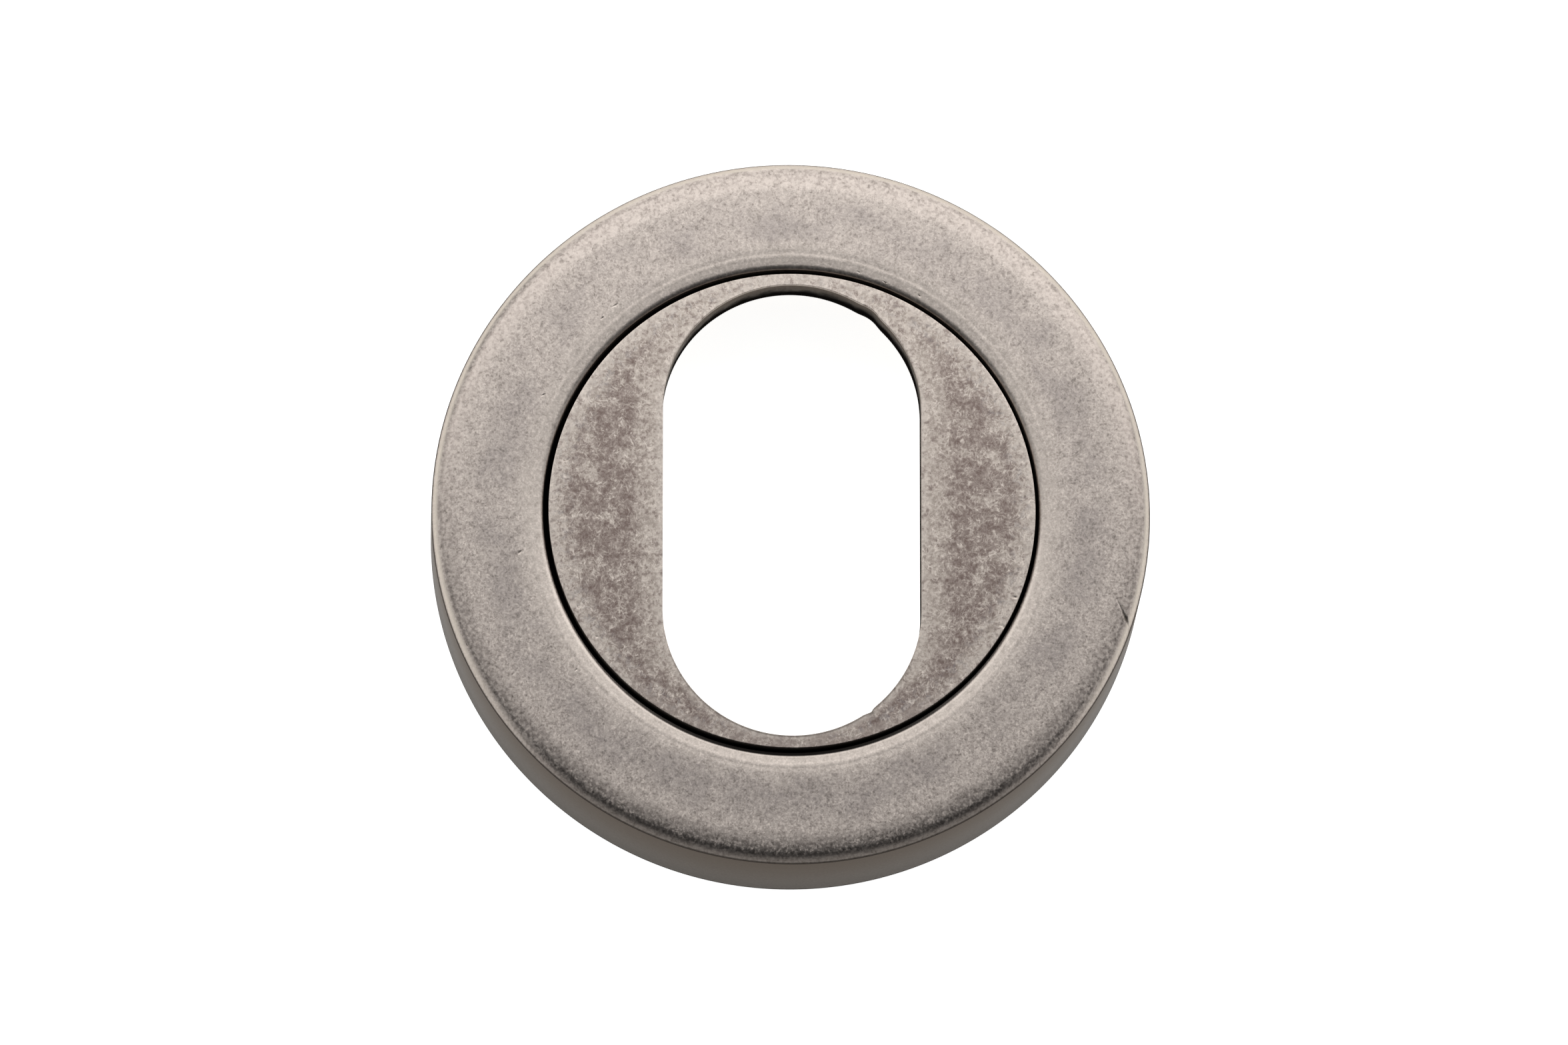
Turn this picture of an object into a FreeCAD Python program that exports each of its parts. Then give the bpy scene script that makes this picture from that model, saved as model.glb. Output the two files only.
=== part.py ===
import FreeCAD, Part
import Sketcher
import math
import os

# Round keyhole escutcheon for a lock cylinder of oval profile, in three turned brass pieces.
# The base plate is screwed to the door. The oval insert stands on the rim of the base plate.
# The rose cover screws down over both, so that its face clamps the flange of the insert, and
# the oval can be lined up with the lock before the cover is tight.
# Sizes are in millimetres. The origin is the centre of the back, on the door's surface.
# +Z points out of the door and +Y points up the door, along the oval.

DRIVING_SIZES = (
    ("cover_diameter", 52.0, "outside of the rose cover"),
    ("cover_height", 10.0, "door to the front face of the cover"),
    ("cover_face", 2.0, "thickness of the cover's face"),
    ("cover_hole", 35.86, "hole in the middle of the cover"),
    ("hole_break", 0.4, "broken front edge of that hole"),
    ("roll_width", 2.2, "width over which the front rolls down to the outer edge"),
    ("roll_drop", 0.6, "how far it rolls down"),
    ("rim_break", 0.25, "broken edge where the rolled front meets the side wall"),
    ("foot_break", 0.25, "broken edge where the side wall meets the door"),
    ("thread_diameter", 48.0, "outside of the thread on the base plate"),
    ("thread_play", 0.1, "radial play in the thread"),
    ("thread_lead", 0.5, "lead-in chamfer at the mouth of each thread"),
    ("relief_width", 1.0, "run-out groove above the cover's thread"),
    ("relief_depth", 0.6, "depth of the run-out groove"),
    ("insert_diameter", 35.04, "raised middle of the oval insert"),
    ("insert_thickness", 3.45, "flange and raised middle together"),
    ("insert_break", 0.2, "broken edge of the raised middle"),
    ("flange_diameter", 46.4, "flange that the cover clamps"),
    ("flange_thickness", 1.4, "thickness of the flange"),
    ("oval_width", 18.7, "oval opening across the door"),
    ("oval_length", 33.5, "oval opening up the door"),
    ("oval_break", 0.25, "broken front edge of the opening"),
    ("plate_thickness", 2.5, "floor of the base plate"),
    ("rim_height", 6.6, "door to the top of the base plate's rim"),
    ("rim_wall", 1.8, "thickness of that rim"),
    ("clearance_width", 21.0, "opening in the base plate across the door"),
    ("clearance_length", 37.6, "opening in the base plate up the door"),
    ("screw_spacing", 36.0, "between the two fixing screws"),
    ("screw_hole", 3.8, "hole for a 3.5 mm wood screw"),
    ("screw_head", 7.0, "countersink for its head"),
    ("screw_angle", 90.0, "angle of that countersink, in degrees"),
)

FULL_TURN = 360.0
UP = FreeCAD.Vector(0, 0, 1)
MATCH = 0.001
START_POINT, END_POINT, CENTRE_POINT = 1, 2, 3
X_AXIS, Y_AXIS = -1, -2
ORIGIN = (-1, 1)


def new_sheet(doc):
    """Put the driving sizes in a spreadsheet, each with an alias."""
    sheet = doc.addObject("Spreadsheet::Sheet", "Sizes")
    for row, (alias, size, meaning) in enumerate(DRIVING_SIZES, start=1):
        sheet.set(f"A{row}", alias)
        sheet.set(f"B{row}", str(size))
        sheet.set(f"C{row}", meaning)
        sheet.setAlias(f"B{row}", alias)
    doc.recompute()
    return sheet


def new_body(doc, label):
    """Start a piece whose label is its name."""
    body = doc.addObject("PartDesign::Body", label)
    body.Label = label
    return body


def origin_item(body, role):
    """Plane or axis of the body's own origin."""
    return next(item for item in body.Origin.OriginFeatures if item.Role == role)


def new_sketch(body, name, role):
    """Start a sketch on one of the body's origin planes."""
    sketch = body.newObject("Sketcher::SketchObject", name)
    sketch.AttachmentSupport = (origin_item(body, role), [""])
    sketch.MapMode = "FlatFace"
    return sketch


def size_of(item, expression):
    """Value of an expression on the sheet."""
    return float(item.evalExpression(expression))


def fix_size(sketch, kind, points, expression):
    """Add a dimension to a sketch and bind it to an expression."""
    constraint = Sketcher.Constraint(kind, *points, size_of(sketch, expression))
    number = sketch.addConstraint(constraint)
    sketch.setExpression(f"Constraints[{number}]", expression)


def fix_point(sketch, point, place, previous):
    """Set a sketch point by two expressions. A coordinate shared with the point before it
    makes the line between them level or upright, and zero puts the point on an axis."""
    line = previous["line"] if previous else None
    for kind, level, axis, index in (
        ("DistanceX", "Vertical", Y_AXIS, 0),
        ("DistanceY", "Horizontal", X_AXIS, 1),
    ):
        if place[index] == "0":
            sketch.addConstraint(Sketcher.Constraint("PointOnObject", *point, axis))
        elif line is not None and place[index] == previous["place"][index]:
            sketch.addConstraint(Sketcher.Constraint(level, line))
        else:
            fix_size(sketch, kind, (*ORIGIN, *point), place[index])


def falling_arc(start, end):
    """Arc that leaves the start point level and falls to the end point."""
    run = end.x - start.x
    drop = start.y - end.y
    radius = (run**2 + drop**2) / (2 * drop)
    centre = FreeCAD.Vector(start.x, start.y - radius, 0)
    circle = Part.Circle(centre, UP, radius)
    return Part.ArcOfCircle(circle, circle.parameter(end), circle.parameter(start))


def draw_profile(sketch, places, arc_from=None):
    """Close an outline through places given as pairs of expressions. From the place
    arc_from, the outline goes on in an arc that is tangent to the line before it."""
    points = [FreeCAD.Vector(size_of(sketch, x), size_of(sketch, y), 0) for x, y in places]
    ends = []
    for start, end, place in zip(points, points[1:] + points[:1], places):
        if place == arc_from:
            line = sketch.addGeometry(falling_arc(start, end))
            ends.append(((line, END_POINT), (line, START_POINT)))
        else:
            line = sketch.addGeometry(Part.LineSegment(start, end))
            ends.append(((line, START_POINT), (line, END_POINT)))
    previous = None
    for number, place in enumerate(places):
        joint = "Tangent" if place == arc_from else "Coincident"
        first = ends[number][0]
        sketch.addConstraint(Sketcher.Constraint(joint, *ends[number - 1][1], *first))
        fix_point(sketch, first, place, previous)
        previous = {"line": None if place == arc_from else first[0], "place": place}


def draw_obround(sketch, width, length):
    """Upright slot with round ends, centred on the origin."""
    radius = size_of(sketch, width) / 2
    reach = (size_of(sketch, length) - size_of(sketch, width)) / 2
    arcs = []
    for height, turn in ((reach, 0), (-reach, math.pi)):
        circle = Part.Circle(FreeCAD.Vector(0, height, 0), UP, radius)
        arcs.append(sketch.addGeometry(Part.ArcOfCircle(circle, turn, turn + math.pi)))
    top, bottom = arcs
    sides = []
    for x, start, end in ((-radius, reach, -reach), (radius, -reach, reach)):
        side = Part.LineSegment(FreeCAD.Vector(x, start, 0), FreeCAD.Vector(x, end, 0))
        sides.append(sketch.addGeometry(side))
    left, right = sides
    for arc, side, turned in ((top, left, bottom), (bottom, right, top)):
        join = Sketcher.Constraint("Tangent", arc, END_POINT, side, START_POINT)
        close = Sketcher.Constraint("Tangent", side, END_POINT, turned, START_POINT)
        sketch.addConstraint([join, close])
    centres = Sketcher.Constraint("Symmetric", top, CENTRE_POINT, bottom, CENTRE_POINT, *ORIGIN)
    on_axis = Sketcher.Constraint("PointOnObject", top, CENTRE_POINT, Y_AXIS)
    sketch.addConstraint([Sketcher.Constraint("Equal", top, bottom), centres, on_axis])
    fix_size(sketch, "Radius", (top,), f"{width} / 2")
    fix_size(sketch, "DistanceY", (*ORIGIN, top, CENTRE_POINT), f"({length} - {width}) / 2")


def revolve(body, name, places, arc_from=None):
    """Turn a half section, drawn as (radius, height) places, about the upright axis."""
    section = new_sketch(body, f"{name}_section", "XZ_Plane")
    draw_profile(section, places, arc_from)
    turned = body.newObject("PartDesign::Revolution", f"{name}_turned")
    turned.Profile = section
    turned.ReferenceAxis = (section, ["V_Axis"])
    turned.Angle = FULL_TURN
    body.Document.recompute()
    return turned


def cut_obround(body, name, width, length):
    """Cut a slot with round ends through the whole piece."""
    outline = new_sketch(body, f"{name}_outline", "XY_Plane")
    draw_obround(outline, width, length)
    pocket = body.newObject("PartDesign::Pocket", name)
    pocket.Profile = outline
    pocket.Type = "ThroughAll"
    pocket.Reversed = True
    body.Document.recompute()
    return pocket


def chamfer(body, name, base, edges, width):
    """Break the named edges of a feature."""
    if not edges:
        raise RuntimeError(f"{name} finds no edge")
    broken = body.newObject("PartDesign::Chamfer", name)
    broken.Base = (base, edges)
    broken.setExpression("Size", width)
    body.Document.recompute()
    return broken


def circle_edges(feature, diameter, height):
    """Names of the edges that are circles of this diameter at this height."""
    radius = size_of(feature, diameter) / 2
    level = size_of(feature, height)
    names = []
    for number, edge in enumerate(feature.Shape.Edges, start=1):
        curve = edge.Curve
        if not isinstance(curve, Part.Circle) or abs(curve.Radius - radius) > MATCH:
            continue
        if abs(curve.Center.z - level) < MATCH and curve.Center.x**2 + curve.Center.y**2 < MATCH:
            names.append(f"Edge{number}")
    return names


def slot_edges(feature, length, height):
    """Names of the edges that lie at this height, within the slot's length."""
    reach = size_of(feature, length) / 2 + MATCH
    level = size_of(feature, height)
    names = []
    for number, edge in enumerate(feature.Shape.Edges, start=1):
        corners = [vertex.Point for vertex in edge.Vertexes]
        level_edge = all(abs(point.z - level) < MATCH for point in corners)
        if level_edge and edge.BoundBox.YMax < reach and edge.BoundBox.YMin > -reach:
            names.append(f"Edge{number}")
    return names


def make_cover(doc):
    """Rose cover: a shallow cup with a rolled front edge, a round hole and a plain skirt
    whose inside carries the thread."""
    body = new_body(doc, "rose_cover")
    outside = "Sizes.cover_diameter / 2"
    hole = "Sizes.cover_hole / 2"
    skirt = "Sizes.thread_diameter / 2 + Sizes.thread_play"
    front = "Sizes.cover_height"
    inner_face = f"{front} - Sizes.cover_face"
    relief = f"{skirt} + Sizes.relief_depth"
    relief_foot = f"{inner_face} - Sizes.relief_width"
    roll_start = (f"{outside} - Sizes.roll_width", front)
    roll_end = (f"{outside} - Sizes.rim_break", f"{front} - Sizes.roll_drop")
    places = [
        (hole, inner_face),
        (hole, front),
        roll_start,
        roll_end,
        (outside, f"{roll_end[1]} - Sizes.rim_break"),
        (outside, "0"),
        (skirt, "0"),
        (skirt, relief_foot),
        (relief, relief_foot),
        (relief, inner_face),
    ]
    turned = revolve(body, "cover", places, arc_from=roll_start)
    mouth = circle_edges(turned, f"2 * ({skirt})", "0")
    led = chamfer(body, "thread_mouth", turned, mouth, "Sizes.thread_lead")
    foot = circle_edges(led, "Sizes.cover_diameter", "0")
    footed = chamfer(body, "foot_break", led, foot, "Sizes.foot_break")
    hole_mouth = circle_edges(footed, "Sizes.cover_hole", front)
    chamfer(body, "hole_break", footed, hole_mouth, "Sizes.hole_break")
    return body


def make_insert(doc):
    """Oval insert: a stepped disc with the opening for the lock cylinder. The flange hides
    under the cover, and the raised middle comes up through the cover's hole."""
    body = new_body(doc, "oval_insert")
    middle = "Sizes.insert_diameter / 2"
    flange = "Sizes.flange_diameter / 2"
    step = "Sizes.flange_thickness"
    front = "Sizes.insert_thickness"
    places = [
        ("0", "0"),
        (flange, "0"),
        (flange, step),
        (middle, step),
        (middle, front),
        ("0", front),
    ]
    disc = revolve(body, "insert", places)
    opened = cut_obround(body, "oval_opening", "Sizes.oval_width", "Sizes.oval_length")
    if opened.Shape.Volume >= disc.Shape.Volume:
        raise RuntimeError("the oval opening cuts nothing")
    edge = circle_edges(opened, "Sizes.insert_diameter", front)
    eased = chamfer(body, "insert_break", opened, edge, "Sizes.insert_break")
    mouth = slot_edges(eased, "Sizes.oval_length", front)
    chamfer(body, "oval_break", eased, mouth, "Sizes.oval_break")
    body.setExpression("Placement.Base.z", "Sizes.rim_height")
    return body


def drill_screw_holes(body, plate):
    """Two countersunk holes, left and right of the opening, sunk from the front."""
    place = new_sketch(body, "screw_places", "XY_Plane")
    place.setExpression("AttachmentOffset.Base.z", "Sizes.plate_thickness")
    centre = FreeCAD.Vector(size_of(place, "Sizes.screw_spacing / 2"), 0, 0)
    radius = size_of(place, "Sizes.screw_hole / 2")
    ring = place.addGeometry(Part.Circle(centre, UP, radius))
    place.addConstraint(Sketcher.Constraint("PointOnObject", ring, CENTRE_POINT, X_AXIS))
    fix_size(place, "DistanceX", (*ORIGIN, ring, CENTRE_POINT), "Sizes.screw_spacing / 2")
    fix_size(place, "Radius", (ring,), "Sizes.screw_hole / 2")
    body.Document.recompute()

    hole = body.newObject("PartDesign::Hole", "screw_hole")
    hole.Profile = place
    hole.DepthType = "ThroughAll"
    hole.HoleCutType = "Countersink"
    hole.HoleCutCustomValues = True
    hole.setExpression("Diameter", "Sizes.screw_hole")
    hole.setExpression("HoleCutDiameter", "Sizes.screw_head")
    hole.setExpression("HoleCutCountersinkAngle", "Sizes.screw_angle")
    body.Document.recompute()

    pair = body.newObject("PartDesign::Mirrored", "screw_hole_pair")
    pair.Originals = [hole]
    pair.MirrorPlane = (origin_item(body, "YZ_Plane"), [""])
    body.Tip = pair
    body.Document.recompute()
    if not pair.Shape.Volume < hole.Shape.Volume < plate.Shape.Volume:
        raise RuntimeError("a screw hole cuts nothing")


def make_base(doc):
    """Base plate: a flat floor with a threaded rim that stands up into the cover."""
    body = new_body(doc, "base_plate")
    outside = "Sizes.thread_diameter / 2"
    inside = f"{outside} - Sizes.rim_wall"
    floor = "Sizes.plate_thickness"
    top = "Sizes.rim_height"
    places = [
        ("0", "0"),
        (outside, "0"),
        (outside, top),
        (inside, top),
        (inside, floor),
        ("0", floor),
    ]
    turned = revolve(body, "base", places)
    opened = cut_obround(body, "clearance", "Sizes.clearance_width", "Sizes.clearance_length")
    if opened.Shape.Volume >= turned.Shape.Volume:
        raise RuntimeError("the clearance opening cuts nothing")
    thread_ends = circle_edges(opened, "Sizes.thread_diameter", top)
    thread_ends += circle_edges(opened, "Sizes.thread_diameter", "0")
    led = chamfer(body, "thread_ends", opened, thread_ends, "Sizes.thread_lead")
    drill_screw_holes(body, led)
    return body


def check_document(doc, bodies):
    """Stop if any feature failed or any piece isn't one valid solid."""
    for item in doc.Objects:
        if {"Invalid", "Error"} & set(item.State):
            raise RuntimeError(f"{item.Name} failed: {item.State}")
        if item.TypeId == "Sketcher::SketchObject" and not item.FullyConstrained:
            raise RuntimeError(f"{item.Name} is not fully constrained")
    for body in bodies:
        shape = body.Shape
        if shape.isNull() or not shape.isValid() or len(shape.Solids) != 1:
            raise RuntimeError(f"{body.Label} is not one valid solid")


def write_pieces(bodies):
    """Write each piece, in place, to a file named after it."""
    os.makedirs("parts", exist_ok=True)
    for body in bodies:
        body.Shape.exportStep(f"parts/{body.Label}.step")
        box = body.Shape.BoundBox
        size = f"{box.XLength:.2f} x {box.YLength:.2f} x {box.ZLength:.2f}"
        volume = body.Shape.Volume / 1000
        print(f"{body.Label}: {size} mm, from z {box.ZMin:.2f}, {volume:.2f} cm3")


def main():
    doc = FreeCAD.newDocument("keyhole_escutcheon")
    new_sheet(doc)
    bodies = [make_cover(doc), make_insert(doc), make_base(doc)]
    doc.recompute()
    check_document(doc, bodies)
    write_pieces(bodies)


main()
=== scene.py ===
# %% [markdown]
# # A round keyhole escutcheon in distressed nickel
#
# The object is a small turned rose, 52 mm across, that surrounds the lock on a door. Three
# brass pieces clamp together: a cover ring on the outside, a disc with an oval opening in
# its middle, and a plate behind them that is screwed to the door. This lesson dresses the
# three pieces: it models each one finer than the construction model does, cuts the nicks
# that years of handling left, and paints a nickel finish that was tumbled until it looks
# old. Everything is in metres, in the frame of the construction model.

import math

import bmesh
import bpy
from mathutils import Matrix, Vector


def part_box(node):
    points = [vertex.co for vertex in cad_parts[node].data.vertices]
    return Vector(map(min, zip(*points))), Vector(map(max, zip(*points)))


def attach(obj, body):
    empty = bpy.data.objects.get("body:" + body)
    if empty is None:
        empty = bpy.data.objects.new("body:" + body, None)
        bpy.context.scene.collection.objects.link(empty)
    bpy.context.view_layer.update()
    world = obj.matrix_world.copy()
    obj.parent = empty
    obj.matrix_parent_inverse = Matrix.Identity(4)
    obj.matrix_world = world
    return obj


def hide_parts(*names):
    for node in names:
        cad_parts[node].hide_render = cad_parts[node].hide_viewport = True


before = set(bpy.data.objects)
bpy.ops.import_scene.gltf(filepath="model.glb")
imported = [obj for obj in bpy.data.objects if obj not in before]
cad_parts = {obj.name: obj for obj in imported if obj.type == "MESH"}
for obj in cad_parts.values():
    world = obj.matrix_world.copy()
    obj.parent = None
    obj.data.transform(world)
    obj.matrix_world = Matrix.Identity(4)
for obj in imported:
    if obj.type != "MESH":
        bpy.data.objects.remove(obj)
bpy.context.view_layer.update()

# %% [markdown]
# ## Sizes
#
# A mesh that stands in for a construction piece has to keep that piece's size, so the main
# sizes are read from the pieces' boxes. What a box can't tell, such as the width of the
# rolled edge, is a named value in millimetres.

# %% Read the main sizes
MM = 0.001
cover_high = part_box("rose_cover")[1]
insert_low, insert_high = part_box("oval_insert")
base_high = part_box("base_plate")[1]

COVER_RADIUS = cover_high.x / MM
COVER_FRONT = cover_high.z / MM
COVER_FACE = 2.0
COVER_HOLE = 17.93
INSERT_BACK = insert_low.z / MM
INSERT_FRONT = insert_high.z / MM
FLANGE_RADIUS = insert_high.x / MM
FLANGE_TOP = COVER_FRONT - COVER_FACE
THREAD_RADIUS = base_high.x / MM
RIM_TOP = base_high.z / MM
print("cover radius", COVER_RADIUS, "front", COVER_FRONT, "insert front", INSERT_FRONT)

# %% [markdown]
# ## The camera
#
# The photograph looks down on the object from 13.4 degrees off its axis, on the side of the
# oval's lower end. A camera is three directions and a distance. The direction back to the
# camera was worked out from how round the rim looks, and the upright of the picture is the
# door's upright. A long lens far away keeps the ring from looking wider at the near side.
# The camera aims a little to the left of the middle of the rim and below it.

# %% Place the camera
PICTURE_WIDTH = 2352
SENSOR_WIDTH = 36.0
CAMERA_DISTANCE = 1.0
FOCAL_PIXELS = 20750
BACK_TO_CAMERA = Vector((-0.028, -0.231, 0.9725)).normalized()
AIM_LEFT = 0.51
AIM_DOWN = 0.79
RIM_LEVEL = 9.4
NEAR_CLIP = 0.01

right = Vector((0, 1, 0)).cross(BACK_TO_CAMERA).normalized()
up = BACK_TO_CAMERA.cross(right)
aim = Vector((0, 0, RIM_LEVEL * MM)) - right * (AIM_LEFT * MM) - up * (AIM_DOWN * MM)

camera = bpy.data.objects.new("camera", bpy.data.cameras.new("camera"))
camera.data.sensor_width = SENSOR_WIDTH
camera.data.lens = FOCAL_PIXELS * SENSOR_WIDTH / PICTURE_WIDTH
camera.data.clip_start = NEAR_CLIP
camera.matrix_world = Matrix.Translation(aim + BACK_TO_CAMERA * CAMERA_DISTANCE) @ Matrix(
    (right, up, BACK_TO_CAMERA)).transposed().to_4x4()
bpy.context.scene.collection.objects.link(camera)
bpy.context.scene.camera = camera
print("lens", round(camera.data.lens), "mm")

# %% [markdown]
# ## Helpers for turned pieces
#
# A lathe makes a shape by turning a half section about an axis, and Blender's spin does the
# same with a row of edges. The outline is a list of (radius, height) corners in
# millimetres, with round stretches worked out as arcs. The spin closes on itself, so its
# last row of points is merged with the first.

# %% Draw an outline and spin it
TURN_STEPS = 360
MERGE_DISTANCE = 1e-7


def arc(centre, radius, first, last, steps):
    """Points of an arc in the half section, between two angles in degrees."""
    angles = [math.radians(first + (last - first) * step / steps) for step in range(steps + 1)]
    return [(centre[0] + radius * math.cos(a), centre[1] + radius * math.sin(a)) for a in angles]


def rows(radius, low, high, count):
    """Evenly spaced points up a straight wall."""
    return [(radius, low + (high - low) * row / count) for row in range(count + 1)]


def turned(outline, steps=TURN_STEPS):
    """Spin a closed outline about the upright axis."""
    bm = bmesh.new()
    corners = [bm.verts.new((r * MM, 0, z * MM)) for r, z in outline]
    edges = [bm.edges.new(pair) for pair in zip(corners, corners[1:] + corners[:1])]
    bmesh.ops.spin(bm, geom=corners + edges, axis=(0, 0, 1), cent=(0, 0, 0),
                   angle=math.tau, steps=steps, use_merge=True)
    bmesh.ops.remove_doubles(bm, verts=bm.verts, dist=MERGE_DISTANCE)
    bmesh.ops.recalc_face_normals(bm, faces=bm.faces)
    return bm


def radius_of(point):
    """Distance from the axis in millimetres."""
    return math.hypot(point.x, point.y) / MM


def soften(bm, edges, width, segments=4):
    """Round edges to a width in millimetres."""
    bmesh.ops.bevel(bm, geom=edges, offset=width * MM, segments=segments, profile=0.5,
                    affect="EDGES", clamp_overlap=True, material=-1)


def ring_edges(bm, radius, height, slack=0.005):
    """Edges of the circle with this radius at this height, in millimetres."""
    def on_ring(vertex):
        near = abs(radius_of(vertex.co) - radius) < slack
        return near and abs(vertex.co.z / MM - height) < slack
    return [edge for edge in bm.edges if all(on_ring(v) for v in edge.verts)]


# %% [markdown]
# ## A fine screw thread
#
# The cover screws onto the plate behind it with a fine thread, one millimetre from turn to
# turn. A helix could be swept, but here it is quicker to start from a plain wall with
# many rows of points and to pull each point inwards by a triangle wave that climbs one
# pitch for each turn. Both pieces use the same wave, so their threads fit each other.

# %% Cut a thread into a wall
THREAD_PITCH = 1.0
THREAD_DEPTH = 0.55
THREAD_FADE = 0.8
ROWS_PER_PITCH = 8


def cut_thread(bm, wall, low, high):
    """Pull the points of a plain round wall inwards along a helix."""
    moved = 0
    for vertex in bm.verts:
        height = vertex.co.z / MM
        if abs(radius_of(vertex.co) - wall) > 0.005 or not low < height < high:
            continue
        turn = math.atan2(vertex.co.y, vertex.co.x) / math.tau
        phase = (height / THREAD_PITCH - turn) % 1
        wave = 1 - abs(2 * phase - 1)
        fade = min(1, (height - low) / THREAD_FADE, (high - height) / THREAD_FADE)
        pull = 1 - THREAD_DEPTH * wave * fade / wall
        vertex.co.x *= pull
        vertex.co.y *= pull
        moved += 1
    print("thread points", moved)


# %% [markdown]
# ## The rose cover
#
# The cover is a shallow cup turned upside down. Its front is flat. Over the last two
# millimetres it rolls down, slowly at first and then quickly, and a thin bevel leads to the
# side wall. Round the hole the edge is worn to a slope, and a turning tool left a faint line
# one millimetre outside it. One arc for the whole roll would be simpler, but the real edge
# goes dark in two steps, so here two arcs follow each other. The outline holds the form,
# and its sharp corners are rounded afterwards.

# %% Turn the rose cover
ROLL_WIDTH = 2.2
ROLL_DROP = 0.6
QUICK_ROLL = 0.6
SLOW_SLOPE = 14
RIM_SLOPE = 50
RIM_BREAK = 0.25
THREAD_GAP = 0.1
RELIEF_DEPTH = 0.6
RELIEF_HEIGHT = 1.0
SKIRT_RADIUS = THREAD_RADIUS + THREAD_GAP
RELIEF_RADIUS = SKIRT_RADIUS + RELIEF_DEPTH
RELIEF_FOOT = FLANGE_TOP - RELIEF_HEIGHT
SKIRT_CHAMFER = 0.5
HOLE_ROUND = 0.7
HOLE_SLOPE = 46
LIP_WIDTH = 2.0
LIP_DROP = 0.08
TOOL_LINE = 19.07
TOOL_LINE_HALF = 0.13
TOOL_LINE_DEPTH = 0.003
ROLL_STEPS = (14, 12)
LIP_STEPS = (9, 8)
CORNER_ROUND = 0.06
ROLL_END_ROUND = 0.05
FOOT_ROUND = 0.25


def leaning(start, run, lean, final, steps):
    """Arc from a start point that goes on from one slope to a steeper one, in degrees."""
    first, last = math.sin(math.radians(lean)), math.sin(math.radians(final))
    radius = run / (last - first)
    centre = (start[0] - radius * first, start[1] - radius * math.cos(math.radians(lean)))
    return arc(centre, radius, 90 - lean, 90 - final, steps)


def rolled_front():
    """A slow roll from the flat front, then a quick one down to the bevel at the rim."""
    start = (COVER_RADIUS - ROLL_WIDTH, COVER_FRONT)
    slow = leaning(start, ROLL_WIDTH - QUICK_ROLL - RIM_BREAK, 0, SLOW_SLOPE, ROLL_STEPS[0])
    quick = leaning(slow[-1], QUICK_ROLL, SLOW_SLOPE, RIM_SLOPE, ROLL_STEPS[1])
    return slow + quick[1:]


def worn_lip():
    """Worn slope at the hole, then a gentle rise to the flat front with the tool's line in it."""
    start = COVER_HOLE + HOLE_ROUND * math.sin(math.radians(HOLE_SLOPE))
    end = COVER_HOLE + LIP_WIDTH
    run = end - start
    radius = (run**2 + LIP_DROP**2) / (2 * LIP_DROP)
    lean = math.degrees(math.asin(run / radius))
    level = COVER_FRONT - LIP_DROP - HOLE_ROUND
    edge = arc((start, level), HOLE_ROUND, 90 + HOLE_SLOPE, 90 + lean, LIP_STEPS[0])
    dish = arc((end, COVER_FRONT - radius), radius, 90 + lean, 90, LIP_STEPS[1])
    before = [(r, z) for r, z in dish[1:] if r < TOOL_LINE - TOOL_LINE_HALF]
    after = [(r, z) for r, z in dish if r > TOOL_LINE + TOOL_LINE_HALF]
    brink = COVER_FRONT - radius + math.sqrt(radius**2 - (end - TOOL_LINE) ** 2)
    line = [(TOOL_LINE - TOOL_LINE_HALF, brink), (TOOL_LINE, brink - TOOL_LINE_DEPTH),
            (TOOL_LINE + TOOL_LINE_HALF, brink)]
    return edge + before + line + after


def front_rows(inner, outer, spacing=0.6):
    """Points across the flat front, close enough to carry dents."""
    count = round((outer - inner) / spacing)
    return [(inner + (outer - inner) * row / count, COVER_FRONT) for row in range(1, count)]


rim_corner = COVER_FRONT - ROLL_DROP - RIM_BREAK
cover_outline = [
    (COVER_HOLE, FLANGE_TOP),
    *worn_lip(),
    *front_rows(COVER_HOLE + LIP_WIDTH, COVER_RADIUS - ROLL_WIDTH),
    *rolled_front(),
    (COVER_RADIUS, rim_corner),
    (COVER_RADIUS, 0),
    (SKIRT_RADIUS + SKIRT_CHAMFER, 0),
    *rows(SKIRT_RADIUS, SKIRT_CHAMFER, RELIEF_FOOT, round(RELIEF_FOOT * ROWS_PER_PITCH)),
    (RELIEF_RADIUS, RELIEF_FOOT),
    (RELIEF_RADIUS, FLANGE_TOP),
]
cover = turned(cover_outline)
hole_corner = COVER_FRONT - LIP_DROP - HOLE_ROUND * (1 - math.cos(math.radians(HOLE_SLOPE)))
soften(cover, ring_edges(cover, COVER_HOLE, hole_corner), CORNER_ROUND, 2)
soften(cover, ring_edges(cover, COVER_RADIUS, rim_corner), CORNER_ROUND, 2)
soften(cover, ring_edges(cover, COVER_RADIUS - RIM_BREAK, rolled_front()[-1][1]), ROLL_END_ROUND, 2)
soften(cover, ring_edges(cover, COVER_RADIUS, 0), FOOT_ROUND, 3)
cut_thread(cover, SKIRT_RADIUS, SKIRT_CHAMFER, RELIEF_FOOT)
print("cover", len(cover.faces), "faces")

# %% [markdown]
# ## Nicks
#
# Years of handling left a gouge at the right-hand rim and small nicks elsewhere. They could
# be painted as bump, but then they would vanish at the outline, so each one is a short
# groove pressed into the mesh. The mesh is made finer just there, and the points near the
# groove's line go down, most in the middle of its width. How far each point went is kept
# in an attribute, so that the finish can leave dirt in the nicks.

# %% Press nicks into the cover
WORN = "nick_depth"
NICK_FULL = 0.08
NICK_MARGIN = 0.25
NICK_WIDEST = 0.75
NICK_ENDS = 0.3


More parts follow.
